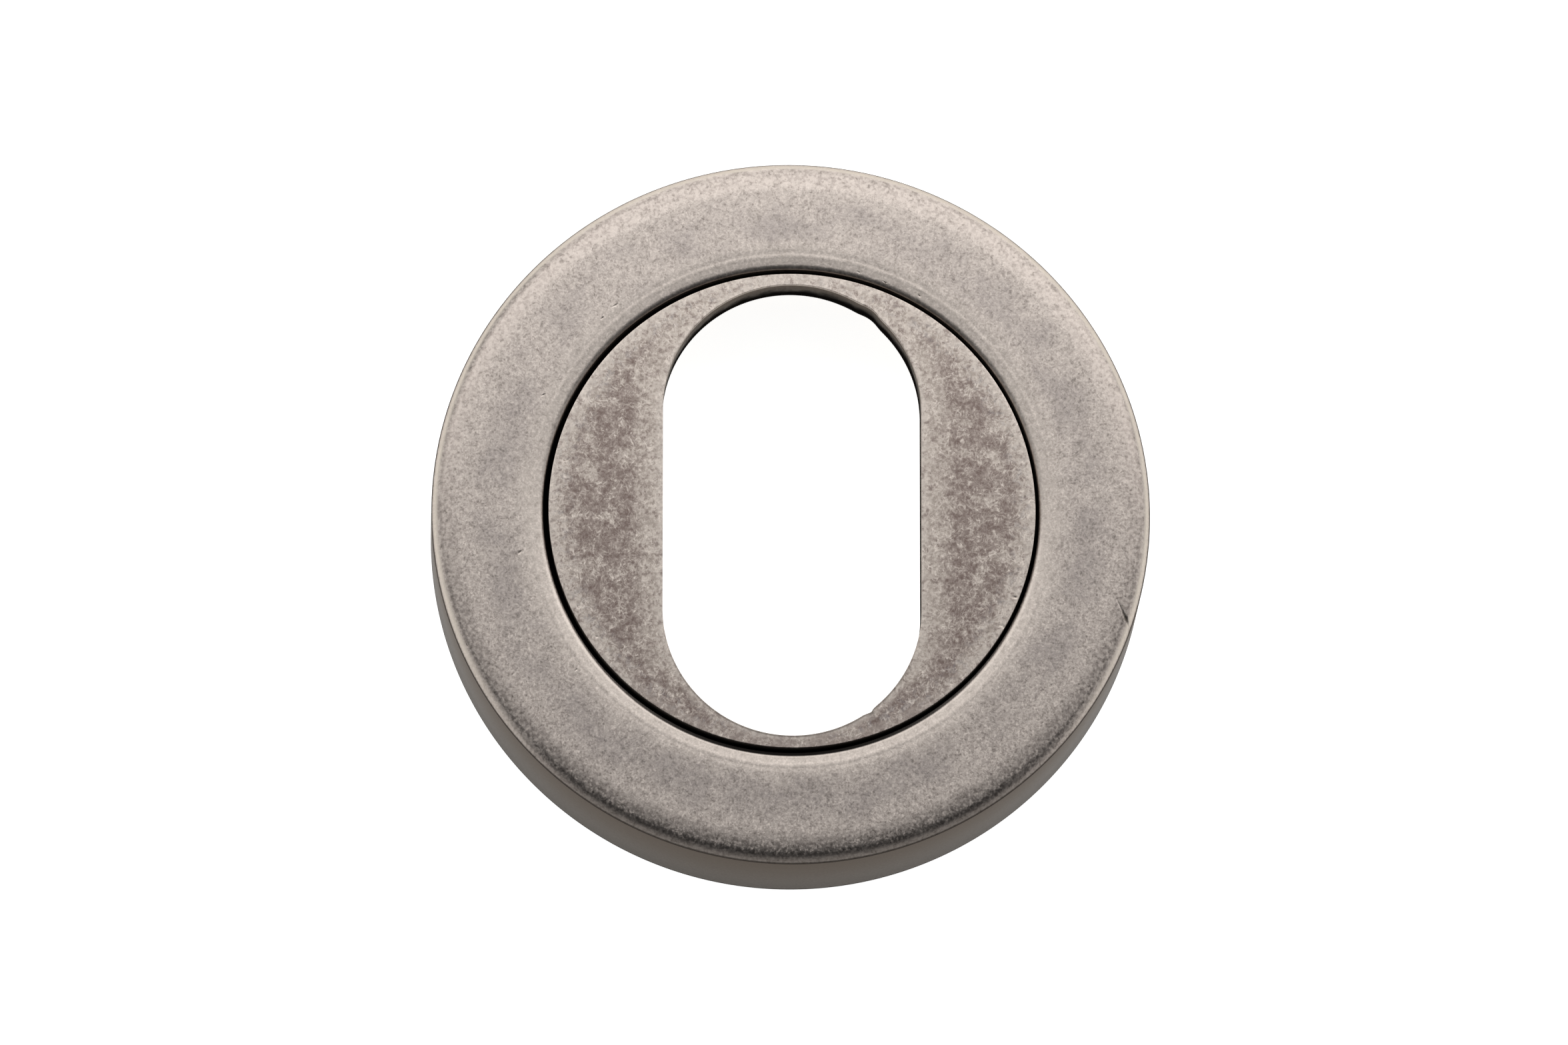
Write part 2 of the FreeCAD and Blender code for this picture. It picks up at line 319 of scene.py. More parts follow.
def press_nick(bm, start, end, width, depth, top, cuts=5):
    """Press a groove from start to end, in the faces above this height."""
    layer = bm.verts.layers.float.get(WORN) or bm.verts.layers.float.new(WORN)
    first, last = Vector(start), Vector(end)
    along = last - first

    def across(point):
        flat = Vector((point.x, point.y)) / MM
        share = min(1, max(0, (flat - first).dot(along) / along.length_squared))
        return share, (flat - first - along * share).length

    def on_top(point):
        return point.z / MM > top

    reach = width + NICK_MARGIN
    faces = [face for face in bm.faces
             if on_top(face.calc_center_median()) and across(face.calc_center_median())[1] < reach]
    edges = {edge for face in faces for edge in face.edges}
    bmesh.ops.subdivide_edges(bm, edges=list(edges), cuts=cuts, use_grid_fill=True)
    lowest = 0
    for vertex in bm.verts:
        share, away = across(vertex.co)
        if not on_top(vertex.co) or away >= width:
            continue
        swell = max(NICK_ENDS, min(share / NICK_WIDEST, (1 - share) / (1 - NICK_WIDEST)))
        half = width / 2 * swell
        if away >= half:
            continue
        press = depth * swell * (1 - (away / half) ** 2)
        vertex.co.z -= press * MM
        vertex[layer] = max(vertex[layer], press / NICK_FULL)
        lowest = max(lowest, press)
    print("nick of", round(along.length, 2), "mm,", round(lowest, 3), "mm deep")


COVER_NICKS = (
    ((23.50, -6.45), (24.42, -8.42), 0.32, 0.08),
    ((-13.05, 15.00), (-12.55, 15.25), 0.16, 0.03),
    ((-18.30, 8.28), (-17.75, 8.50), 0.10, 0.04),
    ((-13.80, 14.10), (-13.62, 14.25), 0.18, 0.05),
    ((-19.90, -3.60), (-19.45, -3.15), 0.16, 0.04),
    ((-23.45, -9.85), (-23.28, -10.30), 0.14, 0.05),
    ((-8.84, -20.05), (-8.72, -20.15), 0.14, 0.07),
    ((-15.65, -12.10), (-15.40, -11.85), 0.12, 0.04),
    ((18.77, -9.32), (18.33, -9.90), 0.10, 0.02),
    ((6.66, 17.10), (6.92, 16.96), 0.14, 0.06),
    ((9.18, 16.12), (9.38, 15.96), 0.12, 0.05),
    ((4.76, 17.82), (5.00, 17.72), 0.12, 0.04),
)
for nick in COVER_NICKS:
    press_nick(cover, *nick, top=COVER_FRONT - ROLL_DROP)
print("cover", len(cover.faces), "faces with its nicks")

# %% [markdown]
# ## The oval insert
#
# The disc in the middle is a turned button with a flange, and the opening has straight
# sides and round ends. A spin can't make that opening, so the disc is built from loops:
# a circle is pulled apart into the oval, a second circle is the disc's edge, and the face
# between them is bridged. The walls and the flange grow from the two loops by extruding
# them, and a last bridge closes the back. The opening was cut a hair above the middle.

# %% Build the oval insert
INSERT_RADIUS = 17.60
OVAL_WIDTH = 18.7
OVAL_LENGTH = 33.5
OVAL_ARC_POINTS = 200
OVAL_SIDE_CUTS = 49
FACE_CUTS = 22
OPENING_RISE = 0.05
DISC_ROUND = 0.45
OPENING_ROUND = 0.2
FLANGE_ROUND = 0.15
BACK_ROUND = 0.3


def oval_loop(bm, width, length, height):
    """Edge loop of an upright slot with round ends."""
    half_step = math.pi / OVAL_ARC_POINTS
    turn = Matrix.Rotation(half_step, 4, "Z")
    made = bmesh.ops.create_circle(bm, segments=OVAL_ARC_POINTS, radius=width * MM / 2,
                                   matrix=Matrix.Translation((0, 0, height * MM)) @ turn)
    reach = (length - width) * MM / 2
    for vertex in made["verts"]:
        vertex.co.y += math.copysign(reach, vertex.co.y)
    edges = {edge for vertex in made["verts"] for edge in vertex.link_edges}
    sides = [edge for edge in edges if edge.calc_length() > reach]
    cut = bmesh.ops.subdivide_edges(bm, edges=sides, cuts=OVAL_SIDE_CUTS)
    return list(edges | {item for item in cut["geom"] if isinstance(item, bmesh.types.BMEdge)})


def circle_loop(bm, radius, height, points):
    """Edge loop of a circle."""
    made = bmesh.ops.create_circle(bm, segments=points, radius=radius * MM,
                                   matrix=Matrix.Translation((0, 0, height * MM)))
    return list({edge for vertex in made["verts"] for edge in vertex.link_edges})


def extruded(bm, edges, drop=0.0, radius_ratio=1.0):
    """Extrude an edge loop, then lower it and widen it about the axis."""
    grown = bmesh.ops.extrude_edge_only(bm, edges=edges)["geom"]
    verts = [item for item in grown if isinstance(item, bmesh.types.BMVert)]
    bmesh.ops.translate(bm, verts=verts, vec=(0, 0, -drop * MM))
    bmesh.ops.scale(bm, verts=verts, vec=(radius_ratio, radius_ratio, 1))
    return [item for item in grown if isinstance(item, bmesh.types.BMEdge)]


insert = bmesh.new()
oval_front = oval_loop(insert, OVAL_WIDTH, OVAL_LENGTH, INSERT_FRONT)
bmesh.ops.translate(insert, verts=insert.verts, vec=(0, OPENING_RISE * MM, 0))
disc_front = circle_loop(insert, INSERT_RADIUS, INSERT_FRONT, len(oval_front))
spokes = bmesh.ops.bridge_loops(insert, edges=oval_front + disc_front)["edges"]
bmesh.ops.subdivide_edges(insert, edges=spokes, cuts=FACE_CUTS, use_grid_fill=True)
step_edges = extruded(insert, disc_front, drop=INSERT_FRONT - FLANGE_TOP)
flange_front = extruded(insert, step_edges, radius_ratio=FLANGE_RADIUS / INSERT_RADIUS)
flange_back = extruded(insert, flange_front, drop=FLANGE_TOP - INSERT_BACK)
oval_back = extruded(insert, oval_front, drop=INSERT_FRONT - INSERT_BACK)
bmesh.ops.bridge_loops(insert, edges=flange_back + oval_back)
bmesh.ops.recalc_face_normals(insert, faces=insert.faces)
soften(insert, disc_front, DISC_ROUND, 6)
soften(insert, oval_front, OPENING_ROUND, 4)
soften(insert, flange_front + flange_back, FLANGE_ROUND, 2)
soften(insert, oval_back, BACK_ROUND, 3)
print("insert", len(insert.faces), "faces")

# %% [markdown]
# The disc has nicks like the cover's. They are shallow, and go in where its mesh is already
# fine, so each needs fewer cuts.

# %% Press nicks into the insert
NICK_ZONE = 0.2
INSERT_NICKS = (
    ((15.72, 5.25), (15.98, 5.65), 0.12, 0.05),
    ((15.80, -6.32), (16.30, -6.45), 0.12, 0.05),
    ((14.90, -8.35), (15.40, -8.62), 0.12, 0.05),
    ((12.88, -6.84), (14.17, -7.34), 0.07, 0.02),
    ((-12.60, -10.10), (-12.15, -10.60), 0.08, 0.02),
    ((-14.30, -9.60), (-13.95, -9.42), 0.12, 0.04),
    ((-16.97, 0.72), (-16.80, 1.02), 0.12, 0.04),
    ((-15.62, -7.10), (-15.40, -7.34), 0.12, 0.04),
)
for nick in INSERT_NICKS:
    press_nick(insert, *nick, top=INSERT_FRONT - NICK_ZONE, cuts=3)

# %% [markdown]
# ## Knocks in the opening
#
# In two places something knocked the opening's edge outwards: widely at the upper right,
# and in a small dirty dent at the lower right. A cut would leave new corners to clean up,
# so the points near each place are pushed away from the middle of the round end, most at
# the place itself. The whole disc then moves a little to the right, because it never sits
# quite in the middle of its hole.

# %% Knock the opening and shift the disc
OFF_CENTRE = (0.06, -0.02)
KNOCKS = (
    ((5.67, 14.84), 1.2, 0.14, 0.0),
    ((5.60, -14.88), 0.45, 0.14, 0.9),
)


def knock_opening(bm, place, reach, depth, dirt_and_shade):
    """Push the opening's edge outwards round a place, and leave dirt there."""
    layer = bm.verts.layers.float[WORN]
    spot = Vector(place)
    middle = Vector((0, math.copysign((OVAL_LENGTH - OVAL_WIDTH) / 2, spot.y)))
    outwards = (spot - middle).normalized()
    for vertex in bm.verts:
        away = (Vector((vertex.co.x, vertex.co.y)) / MM - spot).length / reach
        if away < 1:
            share = (1 - away**2) ** 2
            vertex.co.x += outwards.x * depth * share * MM
            vertex.co.y += outwards.y * depth * share * MM
            vertex[layer] = max(vertex[layer], dirt_and_shade * share)


for knock in KNOCKS:
    knock_opening(insert, *knock)
bmesh.ops.translate(insert, verts=insert.verts, vec=(OFF_CENTRE[0] * MM, OFF_CENTRE[1] * MM, 0))
print("insert", len(insert.faces), "faces")

# %% [markdown]
# ## The base plate
#
# Nothing of this plate shows from the front, but it is what anyone sees who turns the
# object over: a flat floor with a large oval opening and two countersunk screw holes, and
# a threaded rim. The plate is turned like the cover. Its holes are cut with Boolean
# modifiers, which suit a flat plate because the cut leaves no visible mark on a flat face.

# %% Turn the base plate and its cutters
PLATE_THICKNESS = 2.5
RIM_WALL = 1.8
PLATE_CORE = 8.0
THREAD_CHAMFER = 0.5
CLEARANCE_WIDTH = 21.0
CLEARANCE_LENGTH = 37.6
SCREW_PLACE = 18.0
SCREW_RADIUS = 1.9
SCREW_HEAD_RADIUS = 3.5
CUTTER_MARGIN = 1.0

thread_top = RIM_TOP - THREAD_CHAMFER
base_outline = [
    (PLATE_CORE, 0),
    (THREAD_RADIUS - THREAD_CHAMFER, 0),
    *rows(THREAD_RADIUS, THREAD_CHAMFER, thread_top, round(RIM_TOP * ROWS_PER_PITCH)),
    (THREAD_RADIUS - THREAD_CHAMFER, RIM_TOP),
    (THREAD_RADIUS - RIM_WALL, RIM_TOP),
    (THREAD_RADIUS - RIM_WALL, PLATE_THICKNESS),
    (PLATE_CORE, PLATE_THICKNESS),
]
base = turned(base_outline, steps=240)
cut_thread(base, THREAD_RADIUS, THREAD_CHAMFER, thread_top)

slot_cutter = bmesh.new()
slot_top = oval_loop(slot_cutter, CLEARANCE_WIDTH, CLEARANCE_LENGTH, PLATE_THICKNESS + CUTTER_MARGIN)
bmesh.ops.edgeloop_fill(slot_cutter, edges=slot_top)
slot_bottom = extruded(slot_cutter, slot_top, drop=PLATE_THICKNESS + 2 * CUTTER_MARGIN)
bmesh.ops.edgeloop_fill(slot_cutter, edges=slot_bottom)
bmesh.ops.recalc_face_normals(slot_cutter, faces=slot_cutter.faces)

head_depth = SCREW_HEAD_RADIUS - SCREW_RADIUS
screw_outline = [
    (0, -CUTTER_MARGIN),
    (SCREW_RADIUS, -CUTTER_MARGIN),
    (SCREW_RADIUS, PLATE_THICKNESS - head_depth),
    (SCREW_HEAD_RADIUS + CUTTER_MARGIN, PLATE_THICKNESS + CUTTER_MARGIN),
    (0, PLATE_THICKNESS + CUTTER_MARGIN),
]


def screw_cutter(place):
    """Countersink and hole in one plug, at this distance along X."""
    plug = turned(screw_outline, steps=96)
    bmesh.ops.translate(plug, verts=plug.verts, vec=(place * MM, 0, 0))
    return plug


# %% [markdown]
# The cutters become objects, each is subtracted from the plate, and then they are thrown
# away. The exact solver is slower than the others, but it leaves clean edges.

# %% Cut the holes
def as_object(bm, name):
    """Turn a bmesh into an object of the scene."""
    mesh = bpy.data.meshes.new(name)
    bm.to_mesh(mesh)
    bm.free()
    thing = bpy.data.objects.new(name, mesh)
    bpy.context.scene.collection.objects.link(thing)
    return thing


def cut_with(thing, cutters):
    """Subtract the cutters from a thing and throw them away."""
    for cutter in cutters:
        modifier = thing.modifiers.new(cutter.name, "BOOLEAN")
        modifier.operation = "DIFFERENCE"
        modifier.solver = "EXACT"
        modifier.object = cutter
    bpy.context.view_layer.update()
    shape = thing.evaluated_get(bpy.context.evaluated_depsgraph_get())
    mesh = bpy.data.meshes.new_from_object(shape)
    thing.modifiers.clear()
    thing.data = mesh
    for cutter in cutters:
        bpy.data.objects.remove(cutter)
    print(thing.name, len(mesh.polygons), "faces after cutting")


base_piece = as_object(base, "base_plate_turned")
cutters = [as_object(slot_cutter, "slot_cutter")]
cutters += [as_object(screw_cutter(side * SCREW_PLACE), "screw_cutter") for side in (-1, 1)]
cut_with(base_piece, cutters)

# %% [markdown]
# ## Maths for the finishes
#
# A finish is a network of shader nodes. Written node by node it is hard to read, so one
# small class wraps a socket and gives it arithmetic: an expression such as 1 - mask adds
# the Math node that it needs. Every other node comes from one method.

# %% Wrap a socket
class Wire:
    """The output of a shader node, with arithmetic that adds Math nodes."""

    def __init__(self, tree, socket=None):
        self.tree = tree
        self.socket = socket

    def node(self, kind, settings=None, sockets=None, output=0):
        """Add a node: its settings first, then the values or wires of its sockets."""
        made = self.tree.nodes.new("ShaderNode" + kind)
        for name, value in (settings or {}).items():
            setattr(made, name, value)
        for key, value in (sockets or {}).items():
            if isinstance(value, Wire):
                self.tree.links.new(value.socket, made.inputs[key])
            else:
                made.inputs[key].default_value = value
        return Wire(self.tree, made.outputs[output])

    def maths(self, operation, *values):
        """Add a Math node that works on these values or wires."""
        return self.node("Math", {"operation": operation}, dict(enumerate(values)))

    def __add__(self, other):
        return self.maths("ADD", self, other)

    def __sub__(self, other):
        return self.maths("SUBTRACT", self, other)

    def __rsub__(self, other):
        return self.maths("SUBTRACT", other, self)

    def __mul__(self, other):
        return self.maths("MULTIPLY", self, other)

    def __abs__(self):
        return self.maths("ABSOLUTE", self)

    __radd__ = __add__
    __rmul__ = __mul__


# %% [markdown]
# ## Masks, noises and strokes
#
# The finishes share a few helpers. A mask goes smoothly from 0 to 1 between two values, and
# a colour is laid over another where its mask is 1. The tumbled and rubbed metal shows short
# strokes in all directions. Drawing them one by one would take thousands, so each direction
# is a noise stretched along it, read at places that a softer noise has pushed about, and
# that makes the strokes curl.

# %% Make masks, noises and strokes
def rise(value, low, high):
    """A smooth rise from 0 at low to 1 at high, or a fall where low is the larger."""
    return value.node("MapRange", {"interpolation_type": "SMOOTHSTEP"},
                      {"Value": value, "From Min": low, "From Max": high})


def root(value):
    """The square root of a wire."""
    return value.maths("SQRT", value)


def larger(first, second):
    """The larger of a wire and a wire or number."""
    return first.maths("MAXIMUM", first, second)


def lay(mask, ground, paint):
    """Lay a colour over another where the mask is 1."""
    return mask.node("Mix", {"data_type": "RGBA"}, {0: mask, 6: ground, 7: paint}, output=2)


def cloud(place, scale, detail=2.0, distortion=0.0, shift=0.0):
    """Soft noise with this many features to a millimetre."""
    moved = place.node("VectorMath", {"operation": "ADD"}, {0: place, 1: (shift, -shift, shift)})
    return moved.node("TexNoise", None, {"Vector": moved, "Scale": scale, "Detail": detail,
                                         "Distortion": distortion})


def fibres(place, turn, length, width, low, high, shift=0.0):
    """Fine strokes in one direction: a noise stretched to this length and width."""
    laid = place.node("Mapping", {"vector_type": "TEXTURE"}, {
        "Vector": place, "Location": (shift, -shift, shift),
        "Rotation": (0.0, 0.0, math.radians(turn)), "Scale": (length, width, length)})
    return rise(laid.node("TexNoise", None, {"Vector": laid, "Scale": 1.0, "Detail": 1.0}), low, high)


def bent(place, scale, reach):
    """A place pushed about by soft noise, so that straight strokes laid on it curl."""
    push = place.node("TexNoise", None, {"Vector": place, "Scale": scale, "Detail": 1.0}, output=1)
    centred = push.node("VectorMath", {"operation": "SUBTRACT"}, {0: push, 1: (0.5, 0.5, 0.5)})
    scaled = centred.node("VectorMath", {"operation": "SCALE"}, {0: centred, "Scale": reach})
    return place.node("VectorMath", {"operation": "ADD"}, {0: place, 1: scaled})


def felted(place, turns, length, width, low, high):
    """Strokes in several directions laid over each other."""
    total = fibres(place, turns[0], length, width, low, high)
    for count, turn in enumerate(turns[1:], start=1):
        total = total + fibres(place, turn, length, width, low, high, 3.7 * count)
    return total


def shade(red, green, blue):
    """A colour as seen on a screen, from 0 to 255, made linear."""
    def linear(level):
        part = level / 255
        return part / 12.92 if part <= 0.04045 else ((part + 0.055) / 1.055) ** 2.4
    return (linear(red), linear(green), linear(blue), 1.0)


def finish(name):
    """A new metal: its shader node and the place on the object in millimetres."""
    material = bpy.data.materials.new(name)
    material.use_nodes = True
    tree = material.node_tree
    shader = tree.nodes["Principled BSDF"]
    shader.inputs["Metallic"].default_value = 1.0
    shader.inputs["Specular IOR Level"].default_value = 0.0
    metres = Wire(tree).node("TexCoord", None, None, output=3)
    place = metres.node("VectorMath", {"operation": "SCALE"}, {0: metres, "Scale": 1 / MM})
    return material, shader, place


def apart(place):
    """The x, y and z of a place."""
    split = place.node("SeparateXYZ", None, {0: place})
    return [Wire(place.tree, socket) for socket in split.socket.node.outputs]


def nicked(place):
    """How deep a nick is at each point of the mesh."""
    return place.node("Attribute", {"attribute_name": WORN}, None, output=2)


def connect(wire, shader, name):
    """Feed one of the shader's sockets."""
    wire.tree.links.new(wire.socket, shader.inputs[name])


# %% [markdown]
# ## The distressed nickel of the cover
#
# The ring was plated, blackened and then tumbled with a rough medium. Tumbling leaves a
# felt of short curled strokes over a darker ground. Half way across the front it rubbed
# least, so blue-grey clouds remain there, while the rim and the hole's edge are worn light.
# The strokes scatter light and the ground between them is smoother, so where the rolled
# edge turns away from the light the ground goes black and the felt becomes a speckle.
# Painted shade darkens the gap, the foot of the wall, a line under the rim and the lower
# roll, and dirt sits in the nicks. In the gap and in the dark lines the finish isn't
# metal, so there it mirrors nothing.

# %% Paint the cover
PALE_STROKE = shade(195, 185, 177)
BEIGE_GROUND = shade(142, 133, 127)
BLUE_CLOUD = shade(136, 128, 124)
DARK_PIT_AND_SHADE = shade(88, 81, 75)
WORN_LIP = shade(184, 175, 166)
WORN_RIM = shade(186, 177, 166)
WALL_TOP = shade(76, 69, 63)
WALL_FOOT = shade(43, 38, 34)
DARK_SHADE = shade(36, 32, 29)
NICK_GREY = shade(78, 72, 66)
BLACK_SHADE = shade(18, 16, 15)
GRAZING_TINT = (0.72, 0.68, 0.64, 1.0)
COVER_TURNS = (12, 47, 78, 103, 139, 168)
COVER_FELT = {"length": 0.25, "width": 0.13, "low": 0.46, "high": 0.94}
CLOUD_RADIUS = 21.4
CLOUD_WANDER = 3.0
ROLL_FOOT = COVER_FRONT - ROLL_DROP
DIP_RADIUS = 25.32
WALL_FADE = (1.5, 10.5)
FOOT_LINE = (0.55, 0.3)
BRINK_FADE = (9.02, 9.12)
BRINK_SHADE = 0.65
BUMP_STRENGTH = 0.2
BUMP_REACH = 0.00002


def paint_cover():
    """Tumbled nickel: felt, clouds, worn rim and lip, painted shade on the wall and in the gap."""
    material, shader, place = finish("tumbled nickel")
    x, y, z = apart(place)
    radius = root(x * x + y * y)
    # The strokes, clouds and pits of the tumbled front.
    wander = cloud(place, 0.5, 2.0, 0.0, 5.0) - 0.5
    middle = rise(abs(radius + wander * CLOUD_WANDER - CLOUD_RADIUS), 2.4, 0.4)
    curled = bent(place, 1.2, 0.35)
    felt = felted(curled, COVER_TURNS, **COVER_FELT)
    speckle = rise(cloud(place, 3.8, 2.0, 0.0, 67.0), 0.38, 0.62)
    roll = rise(radius, COVER_RADIUS - 2.1, COVER_RADIUS - 1.1)
    felt = felt * (1 - roll * (1 - speckle) * 0.7)
    clouds = middle * rise(cloud(place, 0.28, 4.0, 0.0, 41.0), 0.30, 0.66)
    lumps = cloud(place, 1.6, 3.0, 0.0, 77.0)
    grain = cloud(place, 6.0, 2.0, 0.0, 57.0)
    pits = rise(grain * 0.6 + lumps * 0.5, 0.53, 0.43)
    # The wall, the painted shade in the gap and beside it, and the rim and lip that were worn light.
    wall = rise(z, ROLL_FOOT - 0.17, ROLL_FOOT - 0.25)
    below = rise(y, -3.0, -19.0)
    gap = rise(radius - below * 0.3, COVER_HOLE + 0.05, COVER_HOLE - 0.07)
    gap = gap * larger(below, rise(z, COVER_FRONT - 0.3, COVER_FRONT - 0.65))
    shadow = rise(radius - below * 0.3, COVER_HOLE + 0.4, COVER_HOLE)
    shadow = shadow * (0.3 + rise(y, 2.0, 15.0) * 0.7)
    rim = rise(abs(radius - COVER_RADIUS + 0.27), 0.26, 0.05) * (1 - wall)
    # The rim is worn light, and that paint fades out towards the bottom as painted shade.
    rim = rim * (1 - rise(y, -7.0, -19.0) * 0.95)
    lip = rise(radius + wander * 1.2, COVER_HOLE + 2.6, COVER_HOLE + 0.6)
    front = (1 - wall) * (1 - rim * 0.85) * (1 - lip * 0.2)
    cover_share = (1 - clouds * 0.5) * (0.22 + lumps * 0.8)
    # The colours of the front, from the ground up.
    colour = lay(clouds, BEIGE_GROUND, BLUE_CLOUD)
    colour = lay(pits * 0.55, colour, DARK_PIT_AND_SHADE)
    colour = lay(speckle * (1 - clouds * 0.4) * 0.36, colour, PALE_STROKE)
    colour = lay(lip * (0.25 + lumps * 0.6 - speckle * 0.3), colour, WORN_LIP)
    colour = lay(felt * cover_share, colour, PALE_STROKE)
    colour = lay(rim * (0.95 - speckle * 0.4), colour, WORN_RIM)
    # The wall with faint bands round it; painted shade darkens it downwards and at both its ends.
    brushed = z.node("CombineXYZ", None, {0: (x + y) * 0.02, 1: z})
    wall_painted_light = rise(z + cloud(brushed, 5.0, 3.0, 0.0, 23.0) * 3.0, *WALL_FADE)
    colour = lay(wall, colour, lay(wall_painted_light, WALL_FOOT, WALL_TOP))
    foot = wall * rise(z, *FOOT_LINE)
    brink = rise(z, ROLL_FOOT - 0.11, ROLL_FOOT - 0.18) * rise(z, *BRINK_FADE)
    dirt_and_shade = larger(foot, brink * BRINK_SHADE)
    colour = lay(dirt_and_shade, colour, DARK_SHADE)
    # Painted shade: a band on the quick roll, the shadow beside the gap, and the lower rim.
    quick_roll_shade = rise(abs(radius - DIP_RADIUS), 0.16, 0.04) * (grain * 0.3)
    colour = lay(quick_roll_shade, colour, DARK_PIT_AND_SHADE)
    colour = lay(shadow * 0.66, colour, WALL_FOOT)
    lower_rim_shade = rise(radius, COVER_RADIUS - 0.85, COVER_RADIUS - 0.45) * rise(y, -14.0, -22.0)
    colour = lay(lower_rim_shade * (1 - wall) * 0.6, colour, DARK_SHADE)
    # Painted shade: the gap is painted black and mirrors nothing. Dirt sits in the nicks.
    dirt_and_shade = larger(dirt_and_shade, gap)
    colour = lay(gap, colour, BLACK_SHADE)
    colour = lay(nicked(place), colour, NICK_GREY)
    connect(colour, shader, "Base Color")
    rough = 0.27 + felt * front * (0.1 + roll * 0.14) + grain * 0.1
    connect(rough, shader, "Roughness")
    connect(1 - dirt_and_shade - larger(wall - dirt_and_shade, 0.0) * 0.4, shader, "Metallic")
    height = (felt * 0.15 + grain) * front
    bump = height.node("Bump", None, {
        "Strength": BUMP_STRENGTH, "Distance": BUMP_REACH, "Height": height})
    connect(bump, shader, "Normal")
    shader.inputs["Specular Tint"].default_value = GRAZING_TINT
    return material


# %% [markdown]
# ## The worn nickel of the insert
#
# The disc has the same plating, but it was rubbed rather than tumbled. A brown patina stays
# in patches half way between the opening and the disc's edge, both edges are rubbed light,
# and a few longer scratches cross the strokes. The masks could be painted by hand. Here
# they are worked out from two distances, to the opening and to the edge, bent by soft
# noise, and so they follow the oval of themselves. The opening's wall is grey, and painted
# shade blackens it further down and blackens the disc's outer side below the front.

# %% Paint the insert
BROWN_PATINA = shade(106, 92, 87)
INSERT_GROUND = shade(147, 137, 129)
INSERT_STROKE = shade(200, 190, 181)
INSERT_EDGE = shade(178, 169, 161)
BLUE_STREAK = shade(124, 121, 123)
OPENING_GREY = shade(94, 86, 79)
INSERT_TURNS = (5, 38, 66, 95, 121, 157)
INSERT_FELT = {"length": 0.38, "width": 0.12, "low": 0.50, "high": 0.94}
SCRATCH_TURNS = (22, 74, 131)
SCRATCHES = {"length": 1.3, "width": 0.07, "low": 0.68, "high": 0.82}
PATINA_WANDER = 2.4
WALL_START = (INSERT_FRONT - 0.10, INSERT_FRONT - 0.4)
WALL_DEEP = (INSERT_FRONT - 0.2, INSERT_FRONT - 2.5)


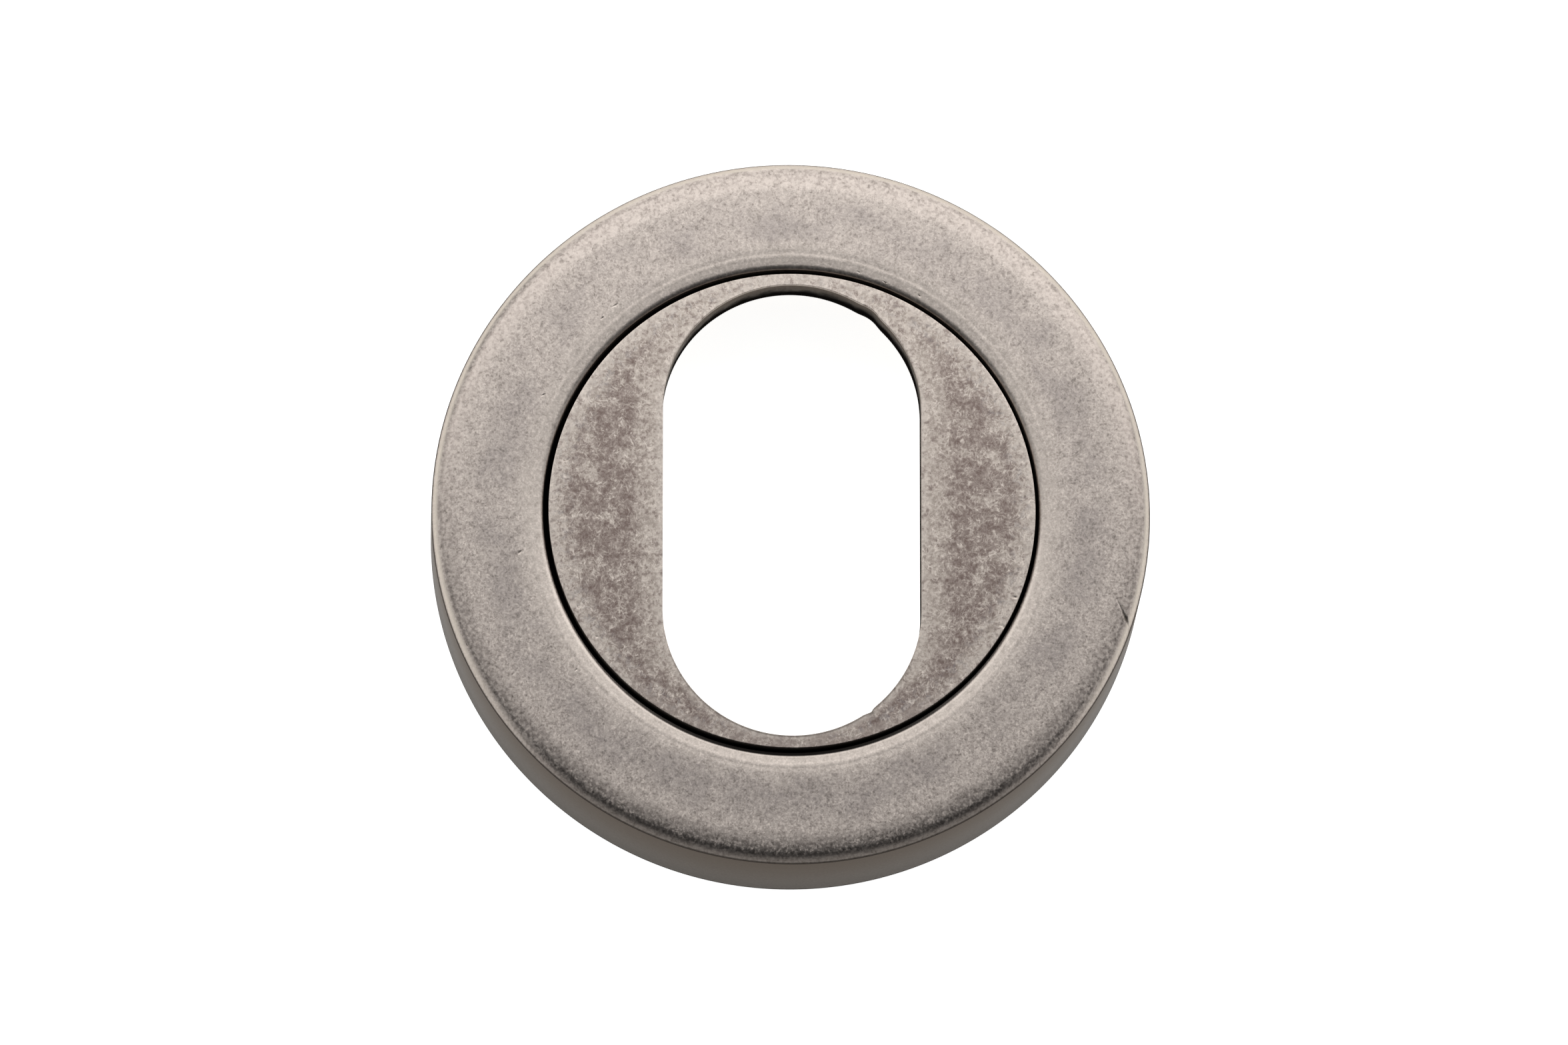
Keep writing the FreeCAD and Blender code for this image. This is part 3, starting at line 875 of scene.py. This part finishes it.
def paint_insert():
    """Rubbed nickel: patina between two light edges, strokes, scratches, painted shade in the
    opening.
    """
    material, shader, place = finish("rubbed nickel")
    place = place.node("VectorMath", {"operation": "SUBTRACT"}, {0: place, 1: (*OFF_CENTRE, 0.0)})
    x, y, z = apart(place)
    radius = root(x * x + y * y)
    # Distances to the opening and to the disc's edge.
    half_side = (OVAL_LENGTH - OVAL_WIDTH) / 2
    beyond = larger(abs(y) - half_side, 0.0)
    to_hole = root(x * x + beyond * beyond) - OVAL_WIDTH / 2
    to_edge = INSERT_RADIUS - radius
    # The patina that stays between them, and the strokes and scratches.
    wander = (cloud(place, 1.0, 3.0, 0.0, 7.0) - 0.5) * PATINA_WANDER
    foot = rise(y, -10.0, -15.0)
    off_hole = rise(to_hole + wander + foot * 1.6, 1.0, 2.5)
    inside = off_hole * rise(to_edge + wander + foot * 1.4, 0.9, 1.7)
    curled = bent(place, 1.1, 0.5)
    felt = felted(curled, INSERT_TURNS, **INSERT_FELT)
    patches = inside * rise(cloud(place, 0.7, 4.0, 0.5, 19.0) - felt * 0.08, 0.28, 0.48)
    clumps = rise(cloud(place, 1.3, 3.0, 0.0, 83.0), 0.36, 0.68)
    speckle = rise(cloud(place, 4.2, 2.0, 0.0, 91.0), 0.42, 0.64)
    scratches = felted(bent(place, 0.5, 1.0), SCRATCH_TURNS, **SCRATCHES)
    grain = cloud(place, 6.0, 2.0, 0.0, 57.0)
    # The opening's wall, grey, and black further down as painted shade.
    low = rise(z, *WALL_START)
    shade_wobble = cloud(place, 0.9, 2.0, 0.0, 13.0) - 0.5
    deep = rise(z + shade_wobble * 1.4 - rise(x, 0.5, 5.5) * 0.4, *WALL_DEEP) * low
    streaks = rise(to_edge, 2.2, 0.8) * rise(cloud(place, 2.0, 3.0, 0.5, 29.0), 0.5, 0.62)
    # The colours, from the ground up.
    colour = lay(patches, INSERT_GROUND, BROWN_PATINA)
    colour = lay(streaks * 0.5, colour, BLUE_STREAK)
    edge = larger(rise(to_edge, 0.9, 0.2), rise(to_hole, 0.7, 0.1))
    colour = lay(edge * 0.7, colour, INSERT_EDGE)
    colour = lay(rise(to_edge, 0.7, 0.25) * foot * 0.55, colour, BROWN_PATINA)
    colour = lay(clumps * 0.35, colour, INSERT_GROUND)
    grime = rise(cloud(place, 1.9, 2.5, 0.5, 63.0) + foot * 0.06, 0.46, 0.66)
    colour = lay(grime * (1 - patches * 0.7) * 0.65, colour, BROWN_PATINA)
    colour = lay(speckle * (1 - patches * 0.65) * 0.42, colour, INSERT_STROKE)
    colour = lay(felt * (1 - patches * 0.35) * (0.30 + clumps * 0.65), colour, INSERT_STROKE)
    colour = lay(scratches * 0.5, colour, INSERT_STROKE)
    colour = lay(rise(to_hole, 0.14, 0.04) * rise(y, -8.0, -13.0) * 0.6, colour, NICK_GREY)
    colour = lay(low, colour, OPENING_GREY)
    colour = lay(deep, colour, BLACK_SHADE)
    # Painted shade: black down the disc's outer side, in the gap beside the cover.
    outer = rise(z, INSERT_FRONT - 0.8, INSERT_FRONT - 1.4) * rise(to_edge, 0.2, 0.1)
    colour = lay(outer, colour, BLACK_SHADE)
    colour = lay(nicked(place), colour, NICK_GREY)
    connect(colour, shader, "Base Color")
    connect(0.28 + felt * 0.12 + grain * 0.1, shader, "Roughness")
    dirt_and_shade = larger(deep, outer)
    connect(1 - larger(dirt_and_shade, low * 0.5), shader, "Metallic")
    height = (felt * 0.15 + grain + patches * 0.5) * (1 - low)
    bump = height.node("Bump", None, {
        "Strength": BUMP_STRENGTH, "Distance": BUMP_REACH, "Height": height})
    connect(bump, shader, "Normal")
    shader.inputs["Specular Tint"].default_value = GRAZING_TINT
    return material


# %% [markdown]
# ## The bare brass of the base plate
#
# The base plate is hidden behind the cover, so nobody plated it. Its turned brass shows
# fine rings and brown stains. The rings are a noise that reads only the radius and the
# height, which is simpler than drawing each ring.

# %% Paint the base plate
BRASS = shade(198, 166, 108)
BRASS_TARNISH = shade(146, 116, 76)
RING_STRENGTH = 0.3
RING_REACH = 0.00003


def paint_base():
    """Turned brass with fine rings and stains."""
    material, shader, place = finish("turned brass")
    x, y, z = apart(place)
    radius = root(x * x + y * y)
    rings = radius.node("CombineXYZ", None, {0: radius, 1: z})
    turning = cloud(rings, 6.0, 3.0, 0.0, 2.0)
    stains = rise(cloud(place, 0.25, 4.0, 0.5, 9.0), 0.40, 0.75)
    colour = lay(stains * 0.4 + turning * 0.15, BRASS, BRASS_TARNISH)
    connect(colour, shader, "Base Color")
    connect(0.34 + stains * 0.12 + turning * 0.1, shader, "Roughness")
    bump = turning.node("Bump", None, {
        "Strength": RING_STRENGTH, "Distance": RING_REACH, "Height": turning})
    connect(bump, shader, "Normal")
    return material


# %% [markdown]
# ## Put the pieces in the frame
#
# Each piece takes the place of one node of the construction model and rides on the same
# body. The faces are shaded smooth, and an edge stays sharp where two faces meet at more
# than 32 degrees, so the rolls look round and the thread keeps its crests.

# %% Finish the pieces and put them in the frame
SHARP_ANGLE = math.radians(32)
cover_piece = as_object(cover, "rose_cover_worn")
insert_piece = as_object(insert, "oval_insert_worn")

for piece, node, slot, material in (
    (cover_piece, "rose_cover", "distressed_nickel", paint_cover()),
    (insert_piece, "oval_insert", "worn_nickel", paint_insert()),
    (base_piece, "base_plate", "bare_brass", paint_base()),
):
    piece.data.polygons.foreach_set("use_smooth", [True] * len(piece.data.polygons))
    piece.data.set_sharp_from_angle(angle=SHARP_ANGLE)
    piece.data.materials.clear()
    piece.data.materials.append(material)
    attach(piece, "root")
    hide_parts(node)
    print(piece.name, len(piece.data.polygons), "polygons")

# %% [markdown]
# ## Floor and light
#
# A pale floor, and the soft light of a studio. Metal shows what it mirrors: the flat front
# mirrors what stands just behind the top of the object, and its lower edge mirrors the side
# of the camera. So the soft lights stand overhead and behind, a small one hangs close over
# the top edge to make it the lightest, and the camera's side has only a weak one. The floor
# glows a little, because on a light table the ground comes out white.

# %% Set the floor and the lights
FLOOR_SIZE = 3.0
FLOOR_PALE = (0.8, 0.8, 0.795, 1.0)
FLOOR_GLOW = 1.17
FLOOR_BODY = (0.55, 0.55, 0.545, 1.0)
FLOOR_ROUGHNESS = 0.9
SKY_TINT = (0.9, 0.95, 1.0, 1.0)
SKY_STRENGTH = 0.10
floor_bm = bmesh.new()
bmesh.ops.create_grid(floor_bm, x_segments=1, y_segments=1, size=FLOOR_SIZE)
floor = as_object(floor_bm, "floor")
floor_paint = bpy.data.materials.new("pale_floor")
floor_paint.use_nodes = True
floor_shader = floor_paint.node_tree.nodes["Principled BSDF"]
floor_shader.inputs["Base Color"].default_value = FLOOR_BODY
floor_shader.inputs["Roughness"].default_value = FLOOR_ROUGHNESS
floor_shader.inputs["Emission Color"].default_value = FLOOR_PALE
floor_shader.inputs["Emission Strength"].default_value = FLOOR_GLOW
floor.data.materials.append(floor_paint)


def softbox(name, place, size, radiance, aim=(0.0, 0.0, 0.0)):
    """A rectangular light, as bright from everywhere as radiance says, that faces the aim."""
    light = bpy.data.lights.new(name, "AREA")
    light.shape = "RECTANGLE"
    light.size, light.size_y = size
    light.energy = radiance * math.pi * size[0] * size[1]
    box = bpy.data.objects.new(name, light)
    box.location = place
    box.rotation_euler = (Vector(place) - Vector(aim)).to_track_quat("Z", "Y").to_euler()
    box.visible_camera = False
    bpy.context.scene.collection.objects.link(box)


softbox("overhead", (0.0, 0.62, 1.3), (2.6, 1.8), 0.61)
softbox("over top edge", (0.03, 0.141, 0.21), (0.6, 0.14), 1.72, aim=(0.03, 0.141, 0.0))
softbox("behind", (0.2, 1.3, 0.5), (2.6, 1.1), 1.85)
softbox("left side", (-1.3, 0.12, 0.5), (1.9, 1.0), 0.98)
softbox("right side", (1.3, 0.15, 0.5), (1.6, 1.0), 0.94)
softbox("camera side", (0.0, -1.5, 0.40), (4.0, 0.7), 0.45)

world = bpy.data.worlds.new("studio")
world.use_nodes = True
world.node_tree.nodes["Background"].inputs["Color"].default_value = SKY_TINT
world.node_tree.nodes["Background"].inputs["Strength"].default_value = SKY_STRENGTH
bpy.context.scene.world = world
bpy.context.scene.view_settings.view_transform = "Standard"
